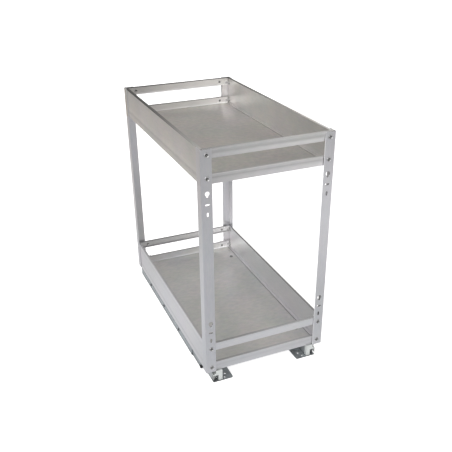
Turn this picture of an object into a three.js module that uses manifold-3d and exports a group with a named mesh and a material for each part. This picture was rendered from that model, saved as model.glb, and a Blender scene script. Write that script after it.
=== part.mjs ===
// Two-tier pull-out cabinet basket on a pair of three-part telescopic bottom slides, in millimetres
import * as THREE from 'three';
import { mergeVertices } from 'three/addons/utils/BufferGeometryUtils.js';
import Module from 'manifold-3d';

const wasm = await Module();
wasm.setup();

// Overall sizes: X is the width, Y the depth from front (minus) to rear, Z is up from the cabinet floor
const basketWidth = 250;
const basketDepth = 469;
const basketHeight = 469;
const slideHeight = 26;
const upperTrayHeight = 61;
const lowerTrayHeight = 63.4;

// Gaps between pieces: sheets that lie on each other, and screws in their holes
const fitGap = 0.2;
const holeClearance = 0.25;

// Corner posts, bent from sheet to an angle
const postSheet = 1.5;
const postFaceFlange = 20;
const postSideFlange = 18.5;
const holeLineInset = 11.2;

// Door-fixing holes in the front posts: a keyhole, a level slot and an upright slot in each group
const keyholeHeadDiameter = 8.5;
const keyholeNeckWidth = 4;
const keyholeNeckDrop = 7;
const slotLength = 8.4;
const slotWidth = 3.6;
const keyholeToLevelSlot = 20;
const levelToUprightSlot = 17.6;
const upperGroupGap = 15;
const lowerGroupGap = 10;

// Tray side walls: a web with a lip on top, a ledge over the floor and a crease along the outside
const wallSheet = 1.2;
const wallLipWidth = 5;
const wallLedgeWidth = 8;
const wallCornerRadius = 1.1;
const creaseHeight = 12;
const creaseWidth = 1.4;
const creaseDepth = 0.4;
const tabMargin = 2;
const tongueMargin = 6.5;

// Tray rails: channels across the front and the rear, with an open window between them
const railSheet = 1.2;
const railLipWidth = 5;
const railLedgeWidth = 4.6;
const railBandHeight = 6.8;
const railBandSetback = 0.5;
const topRailHeight = 16.7;
const windowHeight = 27;

// Tray floors
const floorSheet = 1.5;

// Screws and rivets
const screwDiameter = 4;
const screwHeadDiameter = 8;
const screwHeadHeight = 2.4;
const screwDomeRise = 1.1;
const frontScrewReach = 5;
const rearScrewReach = 1.2;
const floorScrewReach = 2;
const topScrewDrop = 9.3;
const frontBottomScrewRise = 11.3;
const rearBottomScrewRise = 8.4;
const rearScrewInset = 25.5;
const floorScrewFrontInset = 53.9;
const floorScrewRearInset = 50.1;
const rivetDiameter = 4;
const rivetHeadDiameter = 7;
const rivetHeadHeight = 1.8;
const rivetInset = 8.3;
const rivetTopDrop = 13;
const rivetBottomRise = 9.5;

// Telescopic slides, from the track on the cabinet floor outwards to the runner under the basket
const slideCentreInset = 23.4;
const trackWidth = 4.8;
const cabinetSheet = 1.5;
const middleSheet = 1.2;
const runnerSheet = 1.5;
const cageSheet = 0.7;
const ballDiameter = 2;
const ballClearance = 0.1;
const runnerHeadroom = 4.5;
const runnerFloorGap = 0.6;
const middleFloorGap = 1.5;
const cageFloorGap = 4.5;
const ballRise = 7;
const slideTravel = 440;
const runnerLength = 450;
const cabinetRunnerLength = 464;
const cageLength = 220;
const cageBallCount = 4;
const frontCapDepth = 7.5;
const capSetback = 0.4;
const capInnerLeg = 8.1;
const capOpeningHeight = 13;
const capLugReach = 5.8;
const capLugBottom = 2.8;
const capLugTop = 14.9;
const capNotchWidth = 3.2;
const capCornerRadius = 1.2;

// Cabinet runner: a base flange to screw down and a low guard web along the outside
const flangeReach = 55.3;
const flangeCornerRadius = 4;
const guardInset = 5;
const guardHeight = 17;
const guardFront = 98;
const guardStep = 2;
const guardShoeFront = 50;
const guardSlotHeight = 11.6;
const guardSlotWidth = 4.6;
const guardSlotLength = 9;
const guardSlotFirst = 179;
const guardSlotPitch = 102;
const guardSlotCount = 3;
const flangeHoleInset = 44;
const flangeHoleDiameter = 4.8;
const flangeHoleFirst = 16;
const flangeHolePitch = 128;
const flangeHoleCount = 4;
const pilotHoleInset = 39.5;
const pilotHoleSetback = 6.5;
const pilotHoleDiameter = 4.2;
const bumperLength = 6;
const bumperWidth = 4.5;
const bumperHeight = 5.5;
const bumperSlotDepth = 4;
const bumperCornerRadius = 1;

// Facet counts
const bendSteps = 3;
const arcSteps = 8;
const holeSides = 10;
const screwSides = 10;
const domeSteps = 2;
const ballSides = 6;
const ballRings = 4;

// Derived places
const sides = { left: -1, right: 1 };
const ends = { front: -1, rear: 1 };
const trays = {
  upper: { base: basketHeight - upperTrayHeight, height: upperTrayHeight },
  lower: { base: slideHeight, height: lowerTrayHeight },
};
const wallFace = postSheet + fitGap;
const wallInside = wallFace + wallSheet;
const tabBack = wallFace + wallSheet;
const railFace = tabBack + fitGap;
const railInside = railFace + railSheet;
const railEnd = wallInside + rivetHeadHeight + 2 * fitGap;
const ledgeUnderside = floorSheet + fitGap;
const wallLipEnd = railFace + Math.max(railLipWidth, railLedgeWidth) + fitGap;
const tabReach = postFaceFlange - tabMargin;
const tongueReach = rearScrewInset + tongueMargin;
const ballGap = ballDiameter + 2 * ballClearance;
const cageGap = (ballGap - cageSheet) / 2;
const middleWidth = trackWidth + 2 * ballGap + 2 * middleSheet;
const runnerWidth = middleWidth + 2 * ballGap + 2 * runnerSheet;
const runnerTop = slideHeight - fitGap;
const middleTop = runnerTop - runnerSheet - runnerHeadroom;
const trackTop = middleTop - middleSheet - ballGap;
const runnerFront = capSetback + frontCapDepth + fitGap;
const middleFront = runnerFront + fitGap;
const middleTravel = slideTravel / 2;
const cageTravel = middleTravel / 2;
const cageFront = middleFront + cageTravel;
const runnerOuterInset = slideCentreInset - runnerWidth / 2;
const screwHole = screwDiameter / 2 + holeClearance;
const rivetHole = rivetDiameter / 2 + holeClearance;

// Places measured inwards from the basket's outer faces
const acrossFrom = (side, inset) => side * (basketWidth / 2 - inset);
const alongFrom = (end, inset) => end * (basketDepth / 2 - inset);

// Axes of a prism: where its outline's two directions and its length point
const prismAxes = {
  x: new THREE.Matrix4().set(0, 0, 1, 0, 1, 0, 0, 0, 0, 1, 0, 0, 0, 0, 0, 1),
  y: new THREE.Matrix4().set(1, 0, 0, 0, 0, 0, -1, 0, 0, 1, 0, 0, 0, 0, 0, 1),
  z: new THREE.Matrix4(),
};

// A straight solid of one outline along X, Y or Z, between two places
function prism(shape, axis, from, to, curveSegments = bendSteps) {
  const low = Math.min(from, to);
  const depth = Math.abs(to - from);
  const geometry = new THREE.ExtrudeGeometry(shape, { depth, bevelEnabled: false, curveSegments });
  geometry.applyMatrix4(prismAxes[axis]);
  if (axis === 'y') {
    return geometry.translate(0, low + depth, 0);
  }
  return geometry.translate(axis === 'x' ? low : 0, 0, axis === 'z' ? low : 0);
}

// A block between two corners
function block(from, to) {
  const size = to.map((value, index) => Math.abs(value - from[index]));
  const centre = to.map((value, index) => (value + from[index]) / 2);
  return new THREE.BoxGeometry(...size).translate(...centre);
}

// A round bar with its axis along X, Y or Z
function bar(radius, axis, from, to, [first, second], facets = holeSides) {
  const shape = new THREE.Shape();
  shape.absarc(first, second, radius, 0, 2 * Math.PI);
  return prism(shape, axis, from, to, facets / 2);
}

// An outline whose corners are rounded where they have a radius
function roundedShape(corners) {
  const shape = new THREE.Shape();
  corners.forEach(({ point, radius }, index) => {
    const before = corners.at(index - 1).point.clone().sub(point).normalize();
    const after = corners[(index + 1) % corners.length].point.clone().sub(point).normalize();
    const setback = radius / Math.tan(Math.acos(before.dot(after)) / 2);
    const entry = before.multiplyScalar(setback).add(point);
    const exit = after.multiplyScalar(setback).add(point);
    if (index === 0) {
      shape.moveTo(entry.x, entry.y);
    } else {
      shape.lineTo(entry.x, entry.y);
    }
    if (radius > 0) {
      shape.quadraticCurveTo(point.x, point.y, exit.x, exit.y);
    }
  });
  return shape;
}

// The outline of a sheet bent along a path, with the sheet on the path's left and round outer bends
function bentSheet(path, thickness, place) {
  const points = path.map(([first, second]) => new THREE.Vector2(first, second));
  const heading = (index) => points[index + 1].clone().sub(points[index]).normalize();
  const face = [];
  const back = [];
  points.forEach((point, index) => {
    const arriving = heading(Math.max(index - 1, 0));
    const leaving = heading(Math.min(index, points.length - 2));
    const turn = arriving.cross(leaving);
    const normal = new THREE.Vector2(-arriving.y - leaving.y, arriving.x + leaving.x);
    const offset = normal.multiplyScalar(thickness / (1 + arriving.dot(leaving)));
    face.push({ point, radius: turn > 0 ? thickness : 0 });
    back.unshift({ point: point.clone().add(offset), radius: turn < 0 ? thickness : 0 });
  });
  const corners = [...face, ...back];
  return roundedShape(corners.map(({ point, radius }) => ({ point: place(point), radius })));
}

// An outline of plain corners given as places, with a radius where one is given
function outline(corners, place) {
  return roundedShape(corners.map(([first, second, radius = 0]) => (
    { point: place(new THREE.Vector2(first, second)), radius })));
}

// A slot with round ends, along the first or the second direction of its outline
function slotShape(first, second, length, width, alongFirst) {
  const reach = (length - width) / 2;
  const shape = new THREE.Shape();
  const start = alongFirst ? -Math.PI / 2 : 0;
  const step = alongFirst ? [reach, 0] : [0, reach];
  shape.absarc(first + step[0], second + step[1], width / 2, start, start + Math.PI);
  shape.absarc(first - step[0], second - step[1], width / 2, start + Math.PI, start + 2 * Math.PI);
  return shape;
}

// A keyhole: a round head for a screw head and a narrow neck below it
function keyholeShape(first, second) {
  const shape = new THREE.Shape();
  const neck = keyholeNeckWidth / 2;
  const opening = Math.asin(keyholeNeckWidth / keyholeHeadDiameter);
  const down = -Math.PI / 2;
  shape.absarc(first, second, keyholeHeadDiameter / 2, down + opening, down + 2 * Math.PI - opening);
  shape.absarc(first, second - keyholeNeckDrop + neck, neck, Math.PI, 2 * Math.PI);
  return shape;
}

// Joining and cutting of closed solids
function solidOf(geometry) {
  const bare = geometry.clone();
  bare.deleteAttribute('normal');
  bare.deleteAttribute('uv');
  const merged = mergeVertices(bare);
  const vertProperties = new Float32Array(merged.attributes.position.array);
  const triVerts = new Uint32Array(merged.index.array);
  return new wasm.Manifold(new wasm.Mesh({ numProp: 3, vertProperties, triVerts }));
}

function geometryOf(solid) {
  const mesh = solid.getMesh();
  const geometry = new THREE.BufferGeometry();
  geometry.setAttribute('position', new THREE.BufferAttribute(mesh.vertProperties, 3));
  geometry.setIndex(new THREE.BufferAttribute(mesh.triVerts, 1));
  geometry.computeVertexNormals();
  return geometry;
}

function cut(geometry, tools) {
  return geometryOf(tools.reduce((solid, tool) => solid.subtract(solidOf(tool)), solidOf(geometry)));
}

function join(geometries) {
  const [first, ...rest] = geometries.map(solidOf);
  return geometryOf(rest.reduce((solid, next) => solid.add(next), first));
}

// Finishes
const finishes = {
  post: { color: 0xb4b4b9, roughness: 0.42, metalness: 0.6 },
  wall: { color: 0xaeaba8, roughness: 0.45, metalness: 0.6 },
  rail: { color: 0xb9b9bc, roughness: 0.4, metalness: 0.6 },
  floor: { color: 0x9a9996, roughness: 0.5, metalness: 0.6 },
  zinc: { color: 0x747b7f, roughness: 0.38, metalness: 0.8 },
  bright: { color: 0xaeb3b5, roughness: 0.3, metalness: 0.85 },
  nylon: { color: 0xd0d3d2, roughness: 0.5, metalness: 0 },
  black: { color: 0x262626, roughness: 0.6, metalness: 0 },
  fastener: { color: 0xa4a4a4, roughness: 0.3, metalness: 0.9 },
};

function piece(group, name, geometry, finish) {
  const mesh = new THREE.Mesh(geometry, new THREE.MeshStandardMaterial(finishes[finish]));
  mesh.name = name;
  group.add(mesh);
}

const basket = new THREE.Group();

// Heights of the two fastener rows that hold a tray's rails at one end
function railScrewHeights(tray, end) {
  const bottomRise = end === ends.front ? frontBottomScrewRise : rearBottomScrewRise;
  return { top: tray.height - topScrewDrop, bottom: bottomRise };
}

// Heights of the rivets that hold a side wall to a rear post
function rivetHeights(tray) {
  return { top: tray.height - rivetTopDrop, bottom: rivetBottomRise };
}

// Corner posts
function doorFixingCutters(side, front, back) {
  const line = acrossFrom(side, holeLineInset);
  const upperKeyhole = trays.upper.base - upperGroupGap;
  const lowerUpright = trays.lower.base + trays.lower.height + lowerGroupGap;
  const keyholes = [upperKeyhole, lowerUpright + levelToUprightSlot + keyholeToLevelSlot];
  return keyholes.flatMap((height) => {
    const level = height - keyholeToLevelSlot;
    const upright = level - levelToUprightSlot;
    const shapes = [
      keyholeShape(line, height),
      slotShape(line, level, slotLength, slotWidth, true),
      slotShape(line, upright, slotLength, slotWidth, false),
    ];
    return shapes.map((shape) => prism(shape, 'y', front, back, arcSteps));
  });
}

function frontPostCutters(side) {
  const front = alongFrom(ends.front, -postSheet);
  const back = alongFrom(ends.front, 2 * postSheet);
  const line = acrossFrom(side, holeLineInset);
  const screwHoles = Object.values(trays).flatMap((tray) => (
    Object.values(railScrewHeights(tray, ends.front)).map((height) => (
      bar(screwHole, 'y', front, back, [line, tray.base + height])))));
  return [...screwHoles, ...doorFixingCutters(side, front, back)];
}

function rearPostCutters(side) {
  const outside = acrossFrom(side, -postSheet);
  const inside = acrossFrom(side, 2 * postSheet);
  const line = alongFrom(ends.rear, rivetInset);
  return Object.values(trays).flatMap((tray) => (
    Object.values(rivetHeights(tray)).map((height) => (
      bar(rivetHole, 'x', outside, inside, [line, tray.base + height])))));
}

function post(side, end) {
  const place = ({ x, y }) => new THREE.Vector2(acrossFrom(side, x), alongFrom(end, y));
  const section = bentSheet([[0, postSideFlange], [0, 0], [postFaceFlange, 0]], postSheet, place);
  const body = prism(section, 'z', slideHeight, basketHeight);
  return cut(body, end === ends.front ? frontPostCutters(side) : rearPostCutters(side));
}

const frame = new THREE.Group();
basket.add(frame);
for (const [endName, end] of Object.entries(ends)) {
  for (const [sideName, side] of Object.entries(sides)) {
    piece(frame, `${endName}_${sideName}_post`, post(side, end), 'post');
  }
}

// Tray side walls, with a tab behind each front post and two tongues behind the rear rails
function wall(tray, side) {
  const place = ({ x, y }) => new THREE.Vector2(acrossFrom(side, wallFace + x), y);
  const ledgeTop = ledgeUnderside + wallSheet;
  const section = outline([
    [0, 0],
    [0, creaseHeight - creaseWidth / 2],
    [creaseDepth, creaseHeight],
    [0, creaseHeight + creaseWidth / 2],
    [0, tray.height, wallCornerRadius],
    [wallLipWidth, tray.height],
    [wallLipWidth, tray.height - wallSheet],
    [wallSheet, tray.height - wallSheet],
    [wallSheet, ledgeTop],
    [wallLedgeWidth, ledgeTop],
    [wallLedgeWidth, ledgeUnderside],
    [wallSheet, ledgeUnderside],
    [wallSheet, 0],
  ], place);
  const profile = prism(section, 'y', alongFrom(ends.front, wallFace), alongFrom(ends.rear, wallFace));
  const beyondLips = wallFace + Math.max(wallLipWidth, wallLedgeWidth) + fitGap;
  const relief = Object.values(ends).map((end) => block(
    [acrossFrom(side, wallInside), alongFrom(end, 0), -fitGap],
    [acrossFrom(side, beyondLips), alongFrom(end, wallLipEnd), tray.height + fitGap],
  ));
  const tabShape = (end, reach, low, high) => block(
    [acrossFrom(side, wallFace + creaseDepth), alongFrom(end, wallFace), low],
    [acrossFrom(side, reach), alongFrom(end, tabBack), high],
  );
  const windowTop = tray.height - topRailHeight;
  const windowBase = windowTop - windowHeight;
  const tabs = [
    tabShape(ends.front, tabReach, ledgeUnderside, tray.height - wallCornerRadius),
    tabShape(ends.rear, tongueReach, windowTop, tray.height - wallCornerRadius),
    tabShape(ends.rear, tongueReach, ledgeUnderside, windowBase),
  ];
  const tabHoles = Object.values(ends).flatMap((end) => {
    const inset = end === ends.front ? holeLineInset : rearScrewInset;
    const line = acrossFrom(side, inset);
    return Object.values(railScrewHeights(tray, end)).map((height) => (
      bar(screwHole, 'y', alongFrom(end, 0), alongFrom(end, railInside), [line, height])));
  });
  const rivetLine = alongFrom(ends.rear, rivetInset);
  const rivetHoles = Object.values(rivetHeights(tray)).map((height) => (
    bar(rivetHole, 'x', acrossFrom(side, 0), acrossFrom(side, railEnd), [rivetLine, height])));
  return cut(join([cut(profile, relief), ...tabs]), [...tabHoles, ...rivetHoles]);
}

// Tray rails: a face that leans in along its lower band, a lip on top, and below a second lip or a ledge
function topRail(tray, end) {
  const place = ({ x, y }) => new THREE.Vector2(alongFrom(end, railFace + x), y);
  const base = tray.height - topRailHeight;
  const section = outline([
    [railBandSetback, base],
    [0, base + railBandHeight],
    [0, tray.height, railSheet],
    [railLipWidth, tray.height],
    [railLipWidth, tray.height - railSheet],
    [railSheet, tray.height - railSheet],
    [railSheet, base + railSheet],
    [railLipWidth, base + railSheet],
    [railLipWidth, base],
  ], place);
  return prism(section, 'x', acrossFrom(sides.left, railEnd), acrossFrom(sides.right, railEnd));
}

function bottomRail(tray, end) {
  const place = ({ x, y }) => new THREE.Vector2(alongFrom(end, railFace + x), y);
  const top = tray.height - topRailHeight - windowHeight;
  const ledgeTop = ledgeUnderside + railSheet;
  const section = outline([
    [railBandSetback, 0],
    [0, railBandHeight],
    [0, top, railSheet],
    [railLipWidth, top],
    [railLipWidth, top - railSheet],
    [railSheet, top - railSheet],
    [railSheet, ledgeTop],
    [railLedgeWidth, ledgeTop],
    [railLedgeWidth, ledgeUnderside],
    [railSheet, ledgeUnderside],
    [railSheet, 0],
  ], place);
  return prism(section, 'x', acrossFrom(sides.left, railEnd), acrossFrom(sides.right, railEnd));
}

function drilledRail(geometry, end, height) {
  const inset = end === ends.front ? holeLineInset : rearScrewInset;
  const outside = alongFrom(end, 0);
  const inside = alongFrom(end, railInside + fitGap);
  const holes = Object.values(sides).map((side) => (
    bar(screwHole, 'y', outside, inside, [acrossFrom(side, inset), height])));
  return cut(geometry, holes);
}

// Tray floor: a flat panel under the ledges, screwed down to the slides in the lower tray
function floorScrewPlaces(side) {
  const line = acrossFrom(side, slideCentreInset);
  const runnerStart = alongFrom(ends.front, runnerFront);
  return {
    front: [line, runnerStart + floorScrewFrontInset],
    rear: [line, runnerStart + runnerLength - floorScrewRearInset],
  };
}

function floorPanel(tray) {
  const edge = wallInside + fitGap;
  const end = railInside + fitGap;
  const panel = block(
    [acrossFrom(sides.left, edge), alongFrom(ends.front, end), 0],
    [acrossFrom(sides.right, edge), alongFrom(ends.rear, end), floorSheet],
  );
  if (tray !== trays.lower) {
    return panel;
  }
  const places = Object.values(sides).flatMap((side) => Object.values(floorScrewPlaces(side)));
  return cut(panel, places.map((place) => bar(screwHole, 'z', -fitGap, floorSheet + fitGap, place)));
}

for (const [trayName, tray] of Object.entries(trays)) {
  const group = new THREE.Group();
  group.position.z = tray.base;
  basket.add(group);
  for (const [sideName, side] of Object.entries(sides)) {
    piece(group, `${trayName}_${sideName}_wall`, wall(tray, side), 'wall');
  }
  for (const [endName, end] of Object.entries(ends)) {
    const heights = railScrewHeights(tray, end);
    const upperRail = drilledRail(topRail(tray, end), end, heights.top);
    const lowerRail = drilledRail(bottomRail(tray, end), end, heights.bottom);
    piece(group, `${trayName}_${endName}_top_rail`, upperRail, 'rail');
    piece(group, `${trayName}_${endName}_bottom_rail`, lowerRail, 'rail');
  }
  piece(group, `${trayName}_floor`, floorPanel(tray), 'floor');
}

// A pan-head fastener that stands on z = 0 with its shank below, turned to look along a direction
function fastener(headDiameter, headHeight, shankDiameter, shankLength, facing) {
  const headRadius = headDiameter / 2;
  const shankRadius = shankDiameter / 2;
  const rim = headHeight - screwDomeRise;
  const dome = Array.from({ length: domeSteps }, (_, step) => {
    const angle = step * Math.PI / 2 / domeSteps;
    return [headRadius * Math.cos(angle), rim + screwDomeRise * Math.sin(angle)];
  });
  const shank = [[0, -shankLength], [shankRadius, -shankLength], [shankRadius, 0]];
  const profile = [...shank, [headRadius, 0], ...dome, [0, headHeight]];
  const points = profile.map(([radius, height]) => new THREE.Vector2(radius, height));
  const turn = new THREE.Quaternion().setFromUnitVectors(new THREE.Vector3(0, 1, 0), facing);
  return new THREE.LatheGeometry(points, screwSides).applyQuaternion(turn);
}

const fasteners = new THREE.Group();
basket.add(fasteners);
const forwards = new THREE.Vector3(0, -1, 0);
const upwards = new THREE.Vector3(0, 0, 1);
for (const [trayName, tray] of Object.entries(trays)) {
  for (const [sideName, side] of Object.entries(sides)) {
    const inwards = new THREE.Vector3(-side, 0, 0);
    for (const [row, height] of Object.entries(railScrewHeights(tray, ends.front))) {
      const shank = railInside + fitGap + frontScrewReach;
      const screw = fastener(screwHeadDiameter, screwHeadHeight, screwDiameter, shank, forwards);
      const seat = alongFrom(ends.front, -fitGap);
      screw.translate(acrossFrom(side, holeLineInset), seat, tray.base + height);
      piece(fasteners, `${trayName}_${sideName}_${row}_front_screw`, screw, 'fastener');
    }
    for (const [row, height] of Object.entries(railScrewHeights(tray, ends.rear))) {
      const shank = railInside + fitGap - wallFace + rearScrewReach;
      const screw = fastener(screwHeadDiameter, screwHeadHeight, screwDiameter, shank, forwards);
      const seat = alongFrom(ends.rear, railInside + fitGap);
      screw.translate(acrossFrom(side, rearScrewInset), seat, tray.base + height);
      piece(fasteners, `${trayName}_${sideName}_${row}_rear_screw`, screw, 'fastener');
    }
    for (const [row, height] of Object.entries(rivetHeights(tray))) {
      const rivet = fastener(rivetHeadDiameter, rivetHeadHeight, rivetDiameter, wallInside, inwards);
      const seat = acrossFrom(side, wallInside + fitGap);
      rivet.translate(seat, alongFrom(ends.rear, rivetInset), tray.base + height);
      piece(fasteners, `${trayName}_${sideName}_${row}_post_rivet`, rivet, 'fastener');
    }
  }
}
for (const [sideName, side] of Object.entries(sides)) {
  for (const [endName, [x, y]] of Object.entries(floorScrewPlaces(side))) {
    const shank = floorSheet + 2 * fitGap + runnerSheet + floorScrewReach;
    const screw = fastener(screwHeadDiameter, screwHeadHeight, screwDiameter, shank, upwards);
    const seat = trays.lower.base + floorSheet + fitGap;
    screw.translate(x, y, seat);
    piece(fasteners, `${sideName}_${endName}_floor_screw`, screw, 'fastener');
  }
}

// Cabinet runner: one sheet folded into the guard web, the base, the track and the screw flange
function cabinetRunner(side) {
  const place = ({ x, y }) => new THREE.Vector2(acrossFrom(side, x), y);
  const trackOuter = slideCentreInset - trackWidth / 2 + cabinetSheet;
  const trackInner = slideCentreInset + trackWidth / 2 - cabinetSheet;
  const section = bentSheet([
    [guardInset, guardHeight],
    [guardInset, 0],
    [trackOuter, 0],
    [trackOuter, trackTop - cabinetSheet],
    [trackInner, trackTop - cabinetSheet],
    [trackInner, 0],
    [flangeReach, 0],
  ], cabinetSheet, place);
  const front = alongFrom(ends.front, 0);
  const rear = alongFrom(ends.front, cabinetRunnerLength);
  const fold = prism(section, 'y', front, rear);
  const over = guardHeight + fitGap;
  const guardInside = guardInset + guardStep;
  const cornerBelow = [acrossFrom(side, 0), front - fitGap, -fitGap];
  const guardRelief = [
    block(cornerBelow, [acrossFrom(side, guardInside), front + guardFront, over]),
    block(cornerBelow, [acrossFrom(side, runnerOuterInset), front + guardShoeFront, over]),
    block(
      [acrossFrom(side, slideCentreInset - trackWidth), front - fitGap, cabinetSheet],
      [acrossFrom(side, slideCentreInset + trackWidth), front + middleFront, trackTop + fitGap],
    ),
  ];
  const guardFold = [
    block(
      [acrossFrom(side, guardInside), front + guardShoeFront, 0],
      [acrossFrom(side, guardInside + cabinetSheet), front + guardFront + cabinetSheet, guardHeight],
    ),
    block(
      [acrossFrom(side, guardInset), front + guardFront, 0],
      [acrossFrom(side, guardInside + cabinetSheet), front + guardFront + cabinetSheet, guardHeight],
    ),
  ];
  const guardSlots = Array.from({ length: guardSlotCount }, (_, index) => {
    const y = front + guardSlotFirst + index * guardSlotPitch;
    const shape = slotShape(y, guardSlotHeight, guardSlotLength, guardSlotWidth, true);
    const inside = acrossFrom(side, guardInset + 2 * cabinetSheet);
    return prism(shape, 'x', acrossFrom(side, 0), inside, arcSteps);
  });
  const flangeHoles = Array.from({ length: flangeHoleCount }, (_, index) => {
    const x = acrossFrom(side, flangeHoleInset);
    const y = front + flangeHoleFirst + index * flangeHolePitch;
    return bar(flangeHoleDiameter / 2, 'z', -fitGap, cabinetSheet + fitGap, [x, y]);
  });
  const pilot = bar(pilotHoleDiameter / 2, 'z', -fitGap, cabinetSheet + fitGap,
    [acrossFrom(side, pilotHoleInset), front + pilotHoleSetback]);
  const plan = outline([
    [0, -fitGap],
    [flangeReach, 0, flangeCornerRadius],
    [flangeReach, cabinetRunnerLength, flangeCornerRadius],
    [0, cabinetRunnerLength + fitGap],
  ], ({ x, y }) => new THREE.Vector2(acrossFrom(side, x), front + y));
  const planBlock = prism(plan, 'z', -fitGap, slideHeight, arcSteps);
  const trimmed = geometryOf(solidOf(fold).intersect(solidOf(planBlock)));
  const folded = join([cut(trimmed, guardRelief), ...guardFold]);
  return cut(folded, [...guardSlots, ...flangeHoles, pilot]);
}

// An upside-down channel around the track, as the middle runner, the basket runner and the ball cages are
function channel(side, width, sheet, top, bottom, front, length) {
  const place = ({ x, y }) => new THREE.Vector2(acrossFrom(side, x), y);
  const outer = slideCentreInset - width / 2;
  const inner = slideCentreInset + width / 2;
  const section = bentSheet([[inner, bottom], [inner, top], [outer, top], [outer, bottom]], sheet, place);
  const start = alongFrom(ends.front, front);
  return prism(section, 'y', start, start + length);
}

function basketRunner(side) {
  const bottom = cabinetSheet + runnerFloorGap;
  const body = channel(side, runnerWidth, runnerSheet, runnerTop, bottom, runnerFront, runnerLength);
  const holes = Object.values(floorScrewPlaces(side)).map((place) => (
    bar(screwHole, 'z', runnerTop - 2 * runnerSheet, runnerTop + fitGap, place)));
  return cut(body, holes);
}

function middleRunner(side) {
  const bottom = cabinetSheet + middleFloorGap;
  return channel(side, middleWidth, middleSheet, middleTop, bottom, middleFront, runnerLength);
}

// A ball cage: a thin channel with a row of balls in each leg, between two runners
function ballCage(side, innerWidth, innerTop) {
  const width = innerWidth + 2 * (cageGap + cageSheet);
  const top = innerTop + cageGap + cageSheet;
  const bottom = cabinetSheet + cageFloorGap;
  const strip = channel(side, width, cageSheet, top, bottom, cageFront, cageLength);
  const pitch = cageLength / cageBallCount;
  const firstBall = alongFrom(ends.front, cageFront) + pitch / 2;
  const balls = [-1, 1].flatMap((leg) => Array.from({ length: cageBallCount }, (_, index) => {
    const x = acrossFrom(side, slideCentreInset + leg * (width - cageSheet) / 2);
    const ball = new THREE.SphereGeometry(ballDiameter / 2, ballSides, ballRings);
    return ball.translate(x, firstBall + index * pitch, cabinetSheet + ballRise);
  }));
  return join([strip, ...balls]);
}

// The white front cap that closes the basket runner, open below on its outer half with a lug beside it
function frontCap(side) {
  const place = ({ x, y }) => new THREE.Vector2(acrossFrom(side, runnerOuterInset + x), y);
  const bottom = cabinetSheet + runnerFloorGap;
  const openingEnd = runnerWidth - capInnerLeg;
  const section = outline([
    [0, bottom + capLugBottom],
    [0, bottom + capLugTop],
    [capNotchWidth, bottom + capLugTop],
    [capNotchWidth, runnerTop, capCornerRadius],
    [runnerWidth, runnerTop, capCornerRadius],
    [runnerWidth, bottom],
    [openingEnd, bottom],
    [openingEnd, bottom + capOpeningHeight, capCornerRadius],
    [capLugReach, bottom + capOpeningHeight, capCornerRadius],
  ], place);
  const front = alongFrom(ends.front, capSetback);
  return prism(section, 'y', front, front + frontCapDepth);
}

// The black bumper pushed on to the front end of the guard web
function endBumper(side) {
  const web = guardInset + guardStep;
  const middle = web + cabinetSheet / 2;
  const place = ({ x, y }) => new THREE.Vector2(acrossFrom(side, middle + x), alongFrom(ends.front, y));
  const front = guardShoeFront - bumperLength + bumperSlotDepth;
  const back = guardShoeFront + bumperSlotDepth;
  const half = bumperWidth / 2;
  const slotHalf = cabinetSheet / 2 + fitGap;
  const section = outline([
    [-half, back],
    [-half, front, bumperCornerRadius],
    [half, front, bumperCornerRadius],
    [half, back],
    [slotHalf, back],
    [slotHalf, guardShoeFront - fitGap],
    [-slotHalf, guardShoeFront - fitGap],
    [-slotHalf, back],
  ], place);
  const low = cabinetSheet + fitGap;
  return prism(section, 'z', low, low + bumperHeight);
}

for (const [sideName, side] of Object.entries(sides)) {
  const slide = new THREE.Group();
  basket.add(slide);
  piece(slide, `${sideName}_cabinet_runner`, cabinetRunner(side), 'zinc');
  piece(slide, `${sideName}_middle_runner`, middleRunner(side), 'zinc');
  piece(slide, `${sideName}_basket_runner`, basketRunner(side), 'bright');
  piece(slide, `${sideName}_lower_ball_cage`, ballCage(side, trackWidth, trackTop), 'bright');
  piece(slide, `${sideName}_upper_ball_cage`, ballCage(side, middleWidth, middleTop), 'bright');
  piece(slide, `${sideName}_front_cap`, frontCap(side), 'nylon');
  piece(slide, `${sideName}_end_bumper`, endBumper(side), 'black');
}

// The front screw heads stand proud, so the origin sits under the middle of the whole object
basket.position.y = (screwHeadHeight + fitGap) / 2;

export default basket;
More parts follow.
